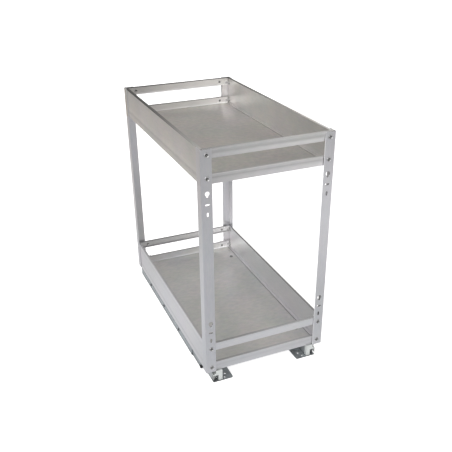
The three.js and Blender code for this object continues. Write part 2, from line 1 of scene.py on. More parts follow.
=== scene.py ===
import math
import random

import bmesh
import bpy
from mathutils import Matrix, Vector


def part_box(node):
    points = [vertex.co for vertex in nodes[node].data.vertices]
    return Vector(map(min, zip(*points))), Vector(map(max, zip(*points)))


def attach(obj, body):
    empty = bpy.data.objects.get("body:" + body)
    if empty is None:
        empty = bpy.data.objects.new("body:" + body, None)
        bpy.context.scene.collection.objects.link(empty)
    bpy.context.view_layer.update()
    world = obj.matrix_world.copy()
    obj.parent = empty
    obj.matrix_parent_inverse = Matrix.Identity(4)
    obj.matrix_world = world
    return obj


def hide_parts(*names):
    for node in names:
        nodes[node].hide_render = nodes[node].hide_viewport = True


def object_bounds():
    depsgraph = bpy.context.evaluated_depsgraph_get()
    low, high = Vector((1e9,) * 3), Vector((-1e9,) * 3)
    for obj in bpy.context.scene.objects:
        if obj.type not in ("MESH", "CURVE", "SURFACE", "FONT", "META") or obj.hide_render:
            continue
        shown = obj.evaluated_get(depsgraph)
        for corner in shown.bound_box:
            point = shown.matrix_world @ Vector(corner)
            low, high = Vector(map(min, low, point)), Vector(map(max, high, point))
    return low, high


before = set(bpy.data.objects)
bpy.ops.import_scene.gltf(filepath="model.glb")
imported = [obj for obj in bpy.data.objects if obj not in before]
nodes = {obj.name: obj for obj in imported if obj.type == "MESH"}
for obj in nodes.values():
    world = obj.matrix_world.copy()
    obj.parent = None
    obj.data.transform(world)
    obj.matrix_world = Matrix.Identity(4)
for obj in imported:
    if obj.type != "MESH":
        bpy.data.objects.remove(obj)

# %% [markdown]
# # A two-tier pull-out cabinet basket
#
# The real thing is a kitchen fitting for a narrow base cabinet: two shallow trays of thin silver-grey metal
# on four angle posts, carried by two telescopic slides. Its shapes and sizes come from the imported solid
# model, which the three lines above load as a fixed frame. This script adds what a solid model lacks: the
# camera, the studio, the finish of each surface, and the small turned and moulded pieces in full detail.
#
# Everything is in metres. X runs to the right, Y to the rear and Z up from the cabinet floor.

scene = bpy.context.scene
solid_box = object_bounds()
mm = 0.001
print("solid model:", len(nodes), "nodes, size", [round(v, 4) for v in solid_box[1] - solid_box[0]])

# %% [markdown]
# ## The camera
#
# The camera stands where the photographer stood: to the left of the front, looking down. It could be set by
# eye, but the long straight edges of the posts and rails give its place exactly, so the angles here were
# fitted to those edges. The picture was cropped off centre, and the lens shift repeats that crop.

# %% Camera
photo_side = 452
lens_in_pixels = 623.5
axis_across = 224.97
axis_down = 246.90
camera_place = Vector((-0.4488, -1.1170, 0.7875))
camera_turn = math.radians(-22.437)
camera_tilt = math.radians(27.518)
camera_roll = math.radians(-0.732)


def camera_axes(turn, tilt, roll):
    """Right, up and back of a camera that is turned round Z, tilted down and rolled."""
    back = Vector((math.sin(turn) * math.cos(tilt), -math.cos(turn) * math.cos(tilt), math.sin(tilt)))
    level_right = Vector((math.cos(turn), math.sin(turn), 0))
    level_up = back.cross(level_right)
    right = level_right * math.cos(roll) + level_up * math.sin(roll)
    up = level_up * math.cos(roll) - level_right * math.sin(roll)
    return right, up, back


lens = bpy.data.cameras.new("photo_camera")
lens.lens = lens.sensor_width * lens_in_pixels / photo_side
lens.shift_x = (photo_side / 2 - axis_across) / photo_side
lens.shift_y = (axis_down - photo_side / 2) / photo_side
lens.clip_start = 10 * mm
camera = bpy.data.objects.new("photo_camera", lens)
camera_frame = Matrix(camera_axes(camera_turn, camera_tilt, camera_roll)).transposed().to_4x4()
camera.matrix_world = Matrix.Translation(camera_place) @ camera_frame
scene.collection.objects.link(camera)
scene.camera = camera
print("camera:", round(lens.lens, 2), "mm lens")

# %% [markdown]
# ## Node trees in a few words
#
# Each finish is a small tree of shader nodes. Building trees in code repeats a few steps: adding a node,
# joining sockets and doing sums. Short helpers take them over. Each sum gives back its result socket, so
# one sum can stand inside another, as in ordinary arithmetic.

# %% Helpers for nodes and sums
def feed(tree, node, inputs):
    """Give a node its inputs by name or number, as values or as sockets to join."""
    for name, value in inputs.items():
        if isinstance(value, bpy.types.NodeSocket):
            tree.links.new(value, node.inputs[name])
        else:
            node.inputs[name].default_value = value


def add(tree, kind, inputs=None, **settings):
    """A new node in a tree, with its settings and its inputs."""
    node = tree.nodes.new(kind)
    for name, value in settings.items():
        setattr(node, name, value)
    feed(tree, node, inputs or {})
    return node


def maths(tree, operation, first, second=0.0, third=0.0):
    """The result of one sum on values or sockets."""
    return add(tree, "ShaderNodeMath", {0: first, 1: second, 2: third}, operation=operation).outputs[0]


def times(tree, first, *others):
    """The product of values or sockets."""
    for other in others:
        first = maths(tree, "MULTIPLY", first, other)
    return first


def where(tree, mask, tone):
    """A tone where a mask is 1, and 1 where the mask is 0."""
    return maths(tree, "MULTIPLY_ADD", mask, tone - 1, 1.0)


def vectors(tree, operation, first, second):
    """The result of one sum on vectors. SCALE takes a number, and DOT_PRODUCT and DISTANCE give one."""
    inputs = {0: first, "Scale" if operation == "SCALE" else 1: second}
    node = add(tree, "ShaderNodeVectorMath", inputs, operation=operation)
    return node.outputs["Value" if operation in ("DOT_PRODUCT", "DISTANCE") else "Vector"]


def spread(tree, value, low, high, to_low=0.0, to_high=1.0, smooth=False):
    """A value that is stretched from one span to another."""
    kind = "SMOOTHSTEP" if smooth else "LINEAR"
    inputs = {0: value, 1: low, 2: high, 3: to_low, 4: to_high}
    return add(tree, "ShaderNodeMapRange", inputs, interpolation_type=kind).outputs[0]


def point(tree):
    """The shaded point, in the frame's metres."""
    return add(tree, "ShaderNodeTexCoord").outputs["Object"]


def bell(tree, widths):
    """1 in the middle, falling off like a bell with the distance in widths."""
    return maths(tree, "EXPONENT", times(tree, widths, widths, -1.0))


print("helpers for nodes and sums ready")

# %% [markdown]
# Colours need two steps more. A colour is easiest to choose as it shows on screen, but shaders count in
# linear light, so one helper converts it. Others mix and multiply colours. An effect that several finishes
# share becomes a node group, and the last two helpers make and place one.

# %% Helpers for colours and groups
def srgb(red, green, blue):
    """A colour as it shows on screen, from 0 to 255, in the linear values that shaders use."""
    def linear(value):
        value = value / 255
        return value / 12.92 if value <= 0.04045 else ((value + 0.055) / 1.055) ** 2.4
    return (linear(red), linear(green), linear(blue), 1.0)


def grey(value):
    """A grey in linear values, from black at 0 to white at 1."""
    return (value, value, value, 1.0)


def blend(tree, share, first, second, mode="MIX"):
    """Two colours mixed by a share."""
    inputs = {0: share, 6: first, 7: second}
    return add(tree, "ShaderNodeMix", inputs, data_type="RGBA", blend_type=mode).outputs[2]


def tinted(tree, colour, *others):
    """A colour multiplied by other colours or by values."""
    for other in others:
        colour = blend(tree, 1.0, colour, other, "MULTIPLY")
    return colour


def new_group(name, inputs, **outputs):
    """An empty node group from inputs with usual values and outputs with kinds, and its two end nodes."""
    group = bpy.data.node_groups.new(name, "ShaderNodeTree")
    for label, value in inputs.items():
        kind = "NodeSocketVector" if isinstance(value, tuple) else "NodeSocketFloat"
        group.interface.new_socket(label, in_out="INPUT", socket_type=kind).default_value = value
    for label, kind in outputs.items():
        group.interface.new_socket(label, in_out="OUTPUT", socket_type="NodeSocket" + kind)
    return group, group.nodes.new("NodeGroupInput").outputs, group.nodes.new("NodeGroupOutput")


def use(tree, group, **inputs):
    """The output sockets of a node group placed in a tree with its own values."""
    return add(tree, "ShaderNodeGroup", inputs, node_tree=group).outputs


print("helpers for colours and groups ready")

# %% [markdown]
# ## The studio
#
# The photo was cut out on white, but the metal still shows the room it was taken in. Low behind the object
# the room is dim, and it is brighter overhead and on the left. A picture of a room could light the scene,
# but a few soft patches of light say the same with less. So the world is plain white to the camera, and the
# metal sees a grey room with these patches in it.

# %% The room
room_base = (0.48, 0.47, 0.46)
room_patches = [  # direction, sharpness, colour
    ((-1.0, 0.0, 0.35), 8.0, (1.1, 1.1, 1.1)),
    ((0.0, 0.0, 1.0), 6.0, (1.2, 1.2, 1.2)),
    ((-0.6, 0.8, 0.3), 12.0, (0.12, 0.16, 0.18)),
]


def light_path(tree, *kinds):
    """1 for rays of the named kinds and 0 for others."""
    path = add(tree, "ShaderNodeLightPath").outputs
    found = path[kinds[0]]
    for kind in kinds[1:]:
        found = maths(tree, "MAXIMUM", found, path[kind])
    return found


def summed(tree, base, parts):
    """A colour made of a base colour and coloured parts, each with its own mask."""
    total = base
    for mask, colour in parts:
        total = vectors(tree, "ADD", total, vectors(tree, "SCALE", colour, mask))
    return total


world = bpy.data.worlds.new("white_studio")
world.use_nodes = True
tree = world.node_tree
tree.nodes.clear()
ray = add(tree, "ShaderNodeTexCoord").outputs["Generated"]
masks = []
for towards, sharpness, colour in room_patches:
    aligned = vectors(tree, "DOT_PRODUCT", ray, tuple(Vector(towards).normalized()))
    masks.append((maths(tree, "POWER", maths(tree, "MAXIMUM", aligned, 0.0), sharpness), colour))
white = add(tree, "ShaderNodeBackground", {"Color": grey(1.0)}).outputs[0]
room = add(tree, "ShaderNodeBackground", {"Color": summed(tree, room_base, masks)}).outputs[0]
in_view = light_path(tree, "Is Camera Ray", "Is Transmission Ray")
shown = add(tree, "ShaderNodeMixShader", {0: in_view, 1: room, 2: white}).outputs[0]
add(tree, "ShaderNodeOutputWorld", {"Surface": shown})
scene.world = world
scene.view_settings.view_transform = "Standard"
print("room:", len(room_patches), "patches of light")

# %% [markdown]
# For mirrored rays the paper glows with painted light and shade: bright near the object and dimmer further
# off, a little blue towards the front and a little warm towards the back. Metal mirrors that, which is why
# level faces look darker than upright ones. A white plane alone would be too even, so its material tells rays
# apart: the camera sees white paper with the object's shadow, mirrored rays see the painted patches, and
# other bounced rays see the paper with a faint glow that lights the undersides.

# %% The paper floor
floor_reach = 40.0
floor_drop = 0.4 * mm
floor_white = 0.86
floor_glow = 0.7
floor_bounce_glow = 0.45
floor_base = (0.35, 0.35, 0.35)
floor_patches = [  # middle, reach, colour
    ((0.0, 0.0, 0.0), 0.35, (0.35, 0.36, 0.38)),
    ((-0.35, -0.8, 0.0), 0.4, (0.2, 0.22, 0.26)),
    ((0.7, -0.75, 0.0), 0.45, (0.53, 0.52, 0.53)),
    ((-0.6, 0.1, 0.0), 0.35, (0.35, 0.36, 0.35)),
    ((-0.45, 0.75, 0.0), 0.4, (0.13, 0.1, 0.08)),
    ((-0.7, 1.7, 0.0), 0.6, (0.26, 0.21, 0.18)),
    ((0.2, 0.9, 0.0), 0.45, (1.0, 1.0, 1.0)),
]

floor_corners = [
    (x * floor_reach, y * floor_reach, -floor_drop) for x, y in ((-1, -1), (1, -1), (1, 1), (-1, 1))
]
floor_mesh = bpy.data.meshes.new("studio_floor")
floor_mesh.from_pydata(floor_corners, [], [(0, 1, 2, 3)])
studio_floor = bpy.data.objects.new("studio_floor", floor_mesh)
scene.collection.objects.link(studio_floor)

paper = bpy.data.materials.new("white_paper")
paper.use_nodes = True
tree = paper.node_tree
tree.nodes.clear()
spot = point(tree)
masks = []
# Painted light and shade on the paper, which only mirrored rays see.
for middle, reach, colour in floor_patches:
    away = maths(tree, "DIVIDE", vectors(tree, "DISTANCE", spot, middle), reach)
    masks.append((bell(tree, away), colour))
matt = add(tree, "ShaderNodeBsdfDiffuse", {"Color": grey(floor_white)}).outputs[0]
# The paper glows: white for the camera, faintly for bounced rays to light the undersides, and in the painted
# patches for mirrored rays.
glow, lift, mirrored = [
    add(tree, "ShaderNodeEmission", {"Color": colour}).outputs[0]
    for colour in (grey(floor_glow), grey(floor_bounce_glow), summed(tree, floor_base, masks))
]
lit = add(tree, "ShaderNodeAddShader", {0: matt, 1: glow}).outputs[0]
lifted = add(tree, "ShaderNodeAddShader", {0: matt, 1: lift}).outputs[0]
in_mirror = light_path(tree, "Is Glossy Ray")
bounced = add(tree, "ShaderNodeMixShader", {0: in_mirror, 1: lifted, 2: mirrored}).outputs[0]
in_view = light_path(tree, "Is Camera Ray", "Is Transmission Ray")
shown = add(tree, "ShaderNodeMixShader", {0: in_view, 1: bounced, 2: lit}).outputs[0]
add(tree, "ShaderNodeOutputMaterial", {"Surface": shown})
floor_mesh.materials.append(paper)
print("paper floor:", len(floor_patches), "patches")

# %% [markdown]
# The room gives most of the light. Two large soft lamps on the left and in front add a little direction to
# it, as the soft boxes of a photo studio do. Sun or spot lamps would throw hard shadows that the photo does
# not have, so both are square area lamps.

# %% Lamps
lamp_places = [  # name, place, side, watts
    ("left_lamp", (-3.0, -1.7, 1.9), 2.4, 44),
    ("front_lamp", (-1.1, -3.3, 1.7), 2.4, 30),
]


def soft_lamp(name, place, side, watts):
    """A square area lamp that points at the middle of the object."""
    data = bpy.data.lights.new(name, "AREA")
    data.shape = "SQUARE"
    data.size = side
    data.energy = watts
    lamp = bpy.data.objects.new(name, data)
    sight_line = (solid_box[0] + solid_box[1]) / 2 - Vector(place)
    lamp.matrix_world = Matrix.Translation(place) @ sight_line.to_track_quat("-Z", "Y").to_matrix().to_4x4()
    scene.collection.objects.link(lamp)
    lamp.visible_camera = False
    return lamp


lamps = [soft_lamp(*place) for place in lamp_places]
print("lamps:", [lamp.name for lamp in lamps])

# %% [markdown]
# ## Shared effects
#
# Rolled and brushed sheet has a fine grain along one direction, and faint cloudy patches from rolling and
# handling. A picture of metal could show that, but noise in the object's own coordinates has no seams and
# stays sharp from near. Each effect is a node group, so every finish below can use it with its own
# strength. The groups only give out values, colours and normals: the shaders themselves stay in the
# materials.

# %% Grain and patches
cloud_span = (0.45, 0.7)

grain, given, result = new_group(
    "brushed_grain", {"Stretch": (2200, 30, 2200), "Contrast": 0.1}, Tone="Float", Height="Float")
drawn = vectors(grain, "MULTIPLY", point(grain), given["Stretch"])
streaks = add(grain, "ShaderNodeTexNoise", {"Vector": drawn, "Scale": 1.0, "Detail": 3.0, "Roughness": 0.65})
around = maths(grain, "SUBTRACT", streaks.outputs["Fac"], 0.5)
tone = maths(grain, "MULTIPLY_ADD", around, given["Contrast"], 1.0)
feed(grain, result, {"Tone": tone, "Height": streaks.outputs["Fac"]})

patches, given, result = new_group(
    "cloudy_patches", {"Stretch": (12, 12, 12), "Contrast": 0.1, "Drift": 0.0},
    Tone="Float", Tint="Color", Mask="Float")
drawn = vectors(patches, "MULTIPLY", point(patches), given["Stretch"])
clouds = add(patches, "ShaderNodeTexNoise", {"Vector": drawn, "Scale": 1.0, "Detail": 4.0})
around = maths(patches, "SUBTRACT", clouds.outputs["Fac"], 0.5)
tone = maths(patches, "MULTIPLY_ADD", around, given["Contrast"], 1.0)
hue = vectors(patches, "SUBTRACT", clouds.outputs["Color"], (0.5, 0.5, 0.5))
hue = vectors(patches, "ADD", vectors(patches, "SCALE", hue, given["Drift"]), (1, 1, 1))
mask = spread(patches, clouds.outputs["Fac"], *cloud_span, smooth=True)
feed(patches, result, {"Tone": tone, "Tint": hue, "Mask": mask})
print("node groups:", [group.name for group in (grain, patches)])

# %% [markdown]
# No real edge is perfectly sharp, so edges catch the light, and inner corners get less of it. Rounding every
# sheet edge in the mesh would take many faces. The Bevel node turns only the normals, and where they leave
# the flat face there is an edge, which the finishes also lighten as a painted highlight. Ambient occlusion
# finds the corners, which the finishes darken as painted shade.

# %% Soft edges and corners
ray_samples = 6
edge_turn = (0.98, 0.75)

edges, given, result = new_group(
    "soft_edges", {"Radius": 0.4 * mm}, Normal="Vector", Edge="Float")
rounded = add(edges, "ShaderNodeBevel", {"Radius": given["Radius"]}, samples=ray_samples).outputs["Normal"]
flat = add(edges, "ShaderNodeNewGeometry").outputs["True Normal"]
agreement = vectors(edges, "DOT_PRODUCT", rounded, flat)
feed(edges, result, {"Normal": rounded, "Edge": spread(edges, agreement, *edge_turn)})

# Painted shade: the tone falls where ambient occlusion finds an inner corner.
corners, given, result = new_group("painted_occlusion_shade", {"Reach": 6 * mm, "Depth": 0.4}, Tone="Float")
occlusion = add(corners, "ShaderNodeAmbientOcclusion", {"Distance": given["Reach"]}, samples=ray_samples)
shut = maths(corners, "SUBTRACT", 1.0, occlusion.outputs["AO"])
feed(corners, result, {"Tone": maths(corners, "SUBTRACT", 1.0, times(corners, shut, given["Depth"]))})
print("node groups:", [group.name for group in (edges, corners)])

# %% [markdown]
# Two more groups tell where on a piece a point lies. Folded and pressed sheet shows lines of shade and light
# along its length, so one group gives a soft painted line of shade or highlight at a height, on the outer or
# the inner side of a piece. The other tells faces that look up or down from upright ones: lips, rims and the
# undersides of folds get painted shade, darker than the flat sides, and the rims of the upper tray fade in
# painted light from dark at the rear left to light at the front right. One height can be skipped, for a lip
# that stays as bright as the sheet.

# %% Lines along a piece and level faces
skip_reach = 3 * mm
fade_slant = -0.6
fade_rear, fade_front = 0.24, -0.26
up_span, down_span = (0.4, 0.85), (-0.25, -0.8)


def place_of(tree):
    """X, Y and Z of the shaded point, in the frame's metres."""
    return add(tree, "ShaderNodeSeparateXYZ", {0: point(tree)}).outputs


def facing_of(tree):
    """X, Y and Z of the direction in which the shaded face looks."""
    normal = add(tree, "ShaderNodeNewGeometry").outputs["True Normal"]
    return add(tree, "ShaderNodeSeparateXYZ", {0: normal}).outputs


# Painted shade or highlight: a soft line at a height.
line_at, given, result = new_group(
    "line_at_height", {"Height": 0.0, "Reach": 2 * mm, "Strength": 0.1, "Side": 1.0}, Amount="Float")
height = maths(line_at, "SUBTRACT", place_of(line_at)["Z"], given["Height"])
line = bell(line_at, maths(line_at, "DIVIDE", height, given["Reach"]))
normal = add(line_at, "ShaderNodeNewGeometry").outputs["True Normal"]
from_middle = vectors(line_at, "MULTIPLY", point(line_at), (1, 1, 0))
outward = vectors(line_at, "DOT_PRODUCT", from_middle, normal)
on_side = maths(line_at, "GREATER_THAN", times(line_at, outward, given["Side"]), 0.0)
feed(line_at, result, {"Amount": times(line_at, line, given["Strength"], on_side)})

# Painted shade on level faces, fading to painted light towards the front right.
level, given, result = new_group(
    "level_faces",
    {"From": 0.0, "Skip": -9.0, "Top": 9.0, "Rear Tone": 0.5, "Front Gain": 0.0, "Under Tone": 0.6},
    Tone="Float")
spot, facing = place_of(level), facing_of(level)
slanted = maths(level, "MULTIPLY_ADD", spot["X"], fade_slant, spot["Y"])
to_front = spread(level, slanted, fade_rear, fade_front)
fade = maths(level, "MULTIPLY_ADD", times(level, to_front, to_front), given["Front Gain"], given["Rear Tone"])
high_up = maths(level, "GREATER_THAN", spot["Z"], given["From"])
at_top = maths(level, "GREATER_THAN", spot["Z"], given["Top"])
kept = maths(level, "SUBTRACT", 1.0, maths(level, "COMPARE", spot["Z"], given["Skip"], skip_reach))
upward = maths(level, "MAXIMUM", spread(level, facing["Z"], *up_span), at_top)
upward = times(level, upward, high_up, kept)
downward = spread(level, facing["Z"], *down_span)
up_tone = maths(level, "MULTIPLY_ADD", maths(level, "SUBTRACT", fade, 1.0), upward, 1.0)
under = maths(level, "SUBTRACT", given["Under Tone"], 1.0)
down_tone = maths(level, "MULTIPLY_ADD", under, downward, 1.0)
feed(level, result, {"Tone": times(level, up_tone, down_tone)})
print("node groups:", [group.name for group in (line_at, level)])

# %% [markdown]
# ## Steps of a finish
#
# Every finish below starts from the same shader and differs in what feeds it. A few steps come back: the
# way the grain runs, the light over the length of a piece, its pressed lines, and a bumpy skin.
#
# A long piece is not lit evenly: the left is darker, and the rear right mirrors a bright part of the room
# more than the fitted lamps give. Two small gains over the length of the tray repeat that.

# %% Steps of a finish
grain_across, grain_along = 2400.0, 26.0
rear_span, side_span, rear_steepness = (-0.1, 0.2), (-0.1, 0.1), 1.7
left_span = (-0.105, -0.02)
outer, inner = 1.0, -1.0


def new_finish(name):
    """A new material, its node tree and its shader."""
    material = bpy.data.materials.new(name)
    material.use_nodes = True
    return material, material.node_tree, material.node_tree.nodes["Principled BSDF"]


def stretch_along(axis, long=grain_along, short=grain_across):
    """The stretch of a pattern that draws it out along one axis."""
    return tuple(long if axis == index else short for index in range(3))


def uneven_light(tree, rear_gain, left_tone):
    """A tone that rises to the rear right and falls to the left."""
    spot = place_of(tree)
    to_rear = spread(tree, spot["Y"], *rear_span)
    gain = times(tree, to_rear, spread(tree, spot["X"], *side_span, 0.0, rear_steepness * rear_gain))
    return times(tree, maths(tree, "ADD", gain, 1.0), spread(tree, spot["X"], *left_span, left_tone, 1.0))


def with_lines(tree, shade, lines, base=0.0, side=outer):
    """A tone with soft lines over it: each has a height over a base and a reach in mm, and a strength."""
    for height, reach, strength in lines:
        line = use(tree, line_at, Height=base + height * mm, Reach=reach * mm, Strength=strength, Side=side)
        shade = times(tree, shade, maths(tree, "ADD", line["Amount"], 1.0))
    return shade


def bumpy(tree, strength, depth, height, normal=None):
    """The normal of a bumpy skin, over another normal if there is one."""
    inputs = {"Strength": strength, "Distance": depth, "Height": height}
    if normal:
        inputs["Normal"] = normal
    return add(tree, "ShaderNodeBump", inputs).outputs["Normal"]


print("steps of a finish ready")

# %% [markdown]
# ## Satin sheet metal
#
# Posts, walls, rails and floors are the same kind of sheet with a satin finish, but the rolling direction
# and the tone differ from piece to piece. One function makes the finish from a tone, a direction of the
# grain and a few strengths, so each kind of piece can have its own material without repeating the tree.

# %% One satin finish
sheet_metallic = 0.95
grain_contrast = 0.14
cloud_stretch, cloud_roughness = (13, 13, 13), 0.06
edge_highlight_gain = 0.22
painted_edge_highlight = (0.9, 0.9, 0.92, 1)
corner_reach = 5 * mm
sheet_bump = (0.12, 0.02 * mm)
cut_roughness, cut_bareness = 0.5, 0.9
# The upper wall's painted warm reflection, which the rear posts take beside it.
warm_reflection_tint = (0.9, 0.85, 0.75, 1)


def satin_sheet(name, tone, axis, roughness=0.3, cloud=0.12, drift=0.05, fleck=0.1, fleck_size=(75, 300),
                edge=0.4 * mm, corner=0.12, base=0.0, lines=(), inner_lines=(), rims=None, rear_gain=0.0,
                left_tone=1.0, marks=None):
    """A satin finish: grain, cloudy patches, and painted light and shade on lines, corners, edges and rims.
    """
    material, tree, shader = new_finish(name)
    brushed = use(tree, grain, Stretch=stretch_along(axis), Contrast=grain_contrast)
    cloudy = use(tree, patches, Stretch=cloud_stretch, Contrast=cloud, Drift=drift)
    flecks = use(tree, patches, Stretch=stretch_along(axis, *fleck_size), Contrast=fleck, Drift=drift)
    # Painted shade in inner corners.
    occlusion_shade = use(tree, corners, Reach=corner_reach, Depth=corner)
    soft = use(tree, edges, Radius=edge)
    marked = marks(tree) if marks else None
    shade = times(tree, brushed["Tone"], cloudy["Tone"], flecks["Tone"], occlusion_shade["Tone"])
    shade = times(tree, shade, uneven_light(tree, rear_gain, left_tone))
    if marked:
        shade = times(tree, shade, marked["shade"])
    # Painted shade and highlight lines along creases and folds.
    shade = with_lines(tree, shade, lines, base, outer)
    shade = with_lines(tree, shade, inner_lines, base, inner)
    coloured = tinted(tree, tone, cloudy["Tint"], flecks["Tint"], shade)
    # Painted highlight along the edges.
    coloured = blend(tree, times(tree, soft["Edge"], edge_highlight_gain), coloured, painted_edge_highlight)
    rough = maths(tree, "MULTIPLY_ADD", cloudy["Mask"], cloud_roughness, roughness)
    metal = sheet_metallic
    if marked:
        # Painted shade in the holes and at the window's end, and the wall's painted warm reflection.
        coloured = tinted(tree, coloured, marked["dark"])
        coloured = blend(tree, marked["beside_wall"], coloured, warm_reflection_tint, "MULTIPLY")
        rough = maths(tree, "MULTIPLY_ADD", marked["cut_edge"], cut_roughness, rough)
        metal = maths(tree, "MULTIPLY_ADD", marked["cut_edge"], -cut_bareness, sheet_metallic)
    # Painted shade on level faces, lighter towards the front.
    if rims:
        coloured = tinted(tree, coloured, use(tree, level, **rims)["Tone"])
    normal = bumpy(tree, *sheet_bump, brushed["Height"], soft["Normal"])
    feed(tree, shader, {"Base Color": coloured, "Roughness": rough, "Metallic": metal, "Normal": normal})
    return material


print("satin finish ready")

# %% [markdown]
# ## Marks on the posts
#
# The posts need a few marks of their own. Their outer side legs are in shade, and the inner faces of the
# front ones more so, both painted in as shade. The walls of the punched holes get painted shade, and the cut
# edges are rough and bare. In the upper tray the rear posts take the wall's painted warm reflection beside it
# and painted light on their faces towards the front, and the window between the rear rails ends in a painted
# dark line of shade. These could be painted on as an image, but they all follow from where a point lies and
# which way its face looks.

# %% Marks on the posts
upper_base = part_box("upper_left_wall")[0].z
post_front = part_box("front_left_post")[0].y
side_leg = 118 * mm
side_tone, tray_side_tone, inner_side_tone = 0.92, 0.84, 0.52
side_step = 1 * mm
tray_corner_light = 1.2
front_facing, edge_facing = -0.7, 0.5
window_line, window_reach, window_shade_tone = 105.6 * mm, 1.2 * mm, 0.35
cut_place, cut_span = 105 * mm, 3 * mm
hole_place, hole_span, hole_depth, hole_shade_tone = 115 * mm, 8.8 * mm, 1.2 * mm, 0.12


def post_marks(tree):
    """The masks and tones of a post's own marks."""
    spot, facing = place_of(tree), facing_of(tree)
    from_middle = maths(tree, "ABSOLUTE", spot["X"])
    outward = times(tree, facing["X"], spot["X"])
    at_rear = maths(tree, "GREATER_THAN", spot["Y"], 0.0)
    in_tray = times(tree, maths(tree, "GREATER_THAN", spot["Z"], upper_base), at_rear)
    outer_side = maths(tree, "GREATER_THAN", outward, side_leg)
    inner_side = times(tree, maths(tree, "LESS_THAN", outward, -side_leg),
                       maths(tree, "LESS_THAN", spot["Y"], 0.0))
    tray_corner = times(tree, in_tray, maths(tree, "LESS_THAN", facing["Y"], front_facing))
    window_end = times(tree, tray_corner, maths(tree, "COMPARE", from_middle, window_line, window_reach))
    in_sheet = maths(tree, "LESS_THAN", spot["Y"], post_front + hole_depth)
    across_sheet = maths(tree, "LESS_THAN", maths(tree, "ABSOLUTE", facing["Y"]), edge_facing)
    in_leg = maths(tree, "COMPARE", from_middle, hole_place, hole_span)
    hole_wall = times(tree, in_leg, in_sheet, across_sheet)
    side_change = spread(tree, spot["Z"], upper_base - side_step, upper_base,
                         side_tone - 1, tray_side_tone - 1)
    # Painted shade on the side legs and painted light in the tray's corner.
    shade = times(tree, maths(tree, "MULTIPLY_ADD", side_change, outer_side, 1.0),
                  where(tree, inner_side, inner_side_tone), where(tree, tray_corner, tray_corner_light))
    return {
        "shade": shade,
        # Painted shade in the hole walls and a painted dark line of shade at the window's end.
        "dark": times(tree, where(tree, hole_wall, hole_shade_tone), where(tree, window_end, window_shade_tone)),
        "beside_wall": times(tree, in_tray, outer_side),
        "cut_edge": maths(tree, "COMPARE", outward, -cut_place, cut_span),
    }


print("post marks ready, upper tray from", round(upper_base, 4))

# %% [markdown]
# ## The finish of each kind of sheet
#
# Now each kind of piece gets its values. The lines are painted shade and highlights along the pressed creases
# and folds of walls and rails, as a height over the tray's underside, a reach and a strength, dark where the
# strength is below 0. The rims are where the level faces of a piece begin, its top edge, and how their
# painted shade runs at the rear, at the front and below.

# %% Sheet finishes
across, deep, upright = 0, 1, 2
lower_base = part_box("lower_left_wall")[0].z
lower_ledge = (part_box("lower_floor")[1].z - lower_base) / mm + 0.6


def rim_values(base, start, top, rear_tone, front_gain=0.0, under_tone=0.45, skip=0.0):
    """Values for the level faces of a tray's piece, with heights in mm over the tray's underside."""
    heights = {"From": start, "Skip": skip, "Top": top}
    tones = {"Rear Tone": rear_tone, "Front Gain": front_gain, "Under Tone": under_tone}
    return {**{name: base + height * mm for name, height in heights.items()}, **tones}


lower_wall = dict(tone=srgb(225, 224, 226), axis=deep, roughness=0.36, base=lower_base,
                  lines=[(13, 3, -0.09), (51, 3, -0.04), (59, 2, 0.04)])
sheet_values = {
    "post": dict(
        tone=srgb(234, 234, 237), axis=upright, edge=1.0 * mm, corner=0.2, left_tone=0.96, marks=post_marks),
    # The upper walls' darker, warmer tone is painted shade and a painted warm reflection.
    "upper_wall": dict(
        tone=srgb(216, 214, 211), axis=deep, roughness=0.36, cloud=0.28, drift=0.1, base=upper_base,
        lines=[(12, 2.2, -0.12), (19, 5.5, 0.07), (5, 3, 0.06), (58, 12, -0.06)],
        rims=rim_values(upper_base, 45, 58.8, rear_tone=0.12, front_gain=1.45)),
    "lower_left_wall": dict(
        **lower_wall, rims=rim_values(lower_base, 45, 63.2, rear_tone=0.8)),
    "lower_right_wall": dict(
        # A painted shadow line along the ledge inside.
        **lower_wall, inner_lines=[(lower_ledge, 1.0, -0.6)],
        rims=rim_values(lower_base, 45, 62.9, rear_tone=0.5)),
    "upper_rail": dict(
        tone=srgb(241, 240, 240), axis=across, corner=0.05, rear_gain=0.18, left_tone=0.86, base=upper_base,
        lines=[(11.2, 1.5, -0.15), (16.6, 0.9, 0.08), (48.5, 2.5, 0.05), (54, 1.6, -0.1), (59, 1.1, 0.12)],
        inner_lines=[(60.6, 1.5, -0.4), (17.0, 1.4, -0.45)],
        rims=rim_values(upper_base, 5, 60, rear_tone=0.12, front_gain=0.7, skip=45.5)),
    "lower_rail": dict(
        tone=srgb(239, 239, 241), axis=across, corner=0.05, rear_gain=0.2, left_tone=0.93, base=lower_base,
        lines=[(10, 10, -0.09), (12, 2, -0.04), (55, 9, 0.07)],
        inner_lines=[(63.0, 1.2, -0.25), (19.4, 1.2, -0.3)],
        rims=rim_values(lower_base, 5, 62.6, rear_tone=0.45, front_gain=0.2, under_tone=0.6)),
    "upper_floor": dict(
        tone=srgb(198, 195, 191), axis=across, cloud=0.2, drift=0.14, fleck=0.34, fleck_size=(110, 110)),
    "lower_floor": dict(
        tone=srgb(213, 213, 211), axis=across, cloud=0.16, drift=0.1, fleck=0.26, fleck_size=(90, 160)),
}
sheet_finishes = {kind: satin_sheet("satin_" + kind, **values) for kind, values in sheet_values.items()}
print("sheet finishes:", sorted(sheet_finishes))

# %% [markdown]
# ## Zinc
#
# The slides are zinc plated. The base that is screwed to the cabinet is duller and darker, with the faint
# crystal cells of a hot zinc coat, and the runner under the basket is brighter. Cells with straight borders
# are what a Voronoi texture gives, so each cell takes a slightly different tone and roughness from it. As on
# the sheet, corners, level faces and edges get painted shade and highlights, and the base's web a painted
# contact shadow at its foot with a painted highlight above.

# %% Zinc coats
zinc_metallic = 0.8
zinc_cells, cell_roughness = 210.0, 0.1
zinc_edge_highlight = (0.8, 0.82, 0.84, 1)
zinc_bump = (0.15, 0.02 * mm)


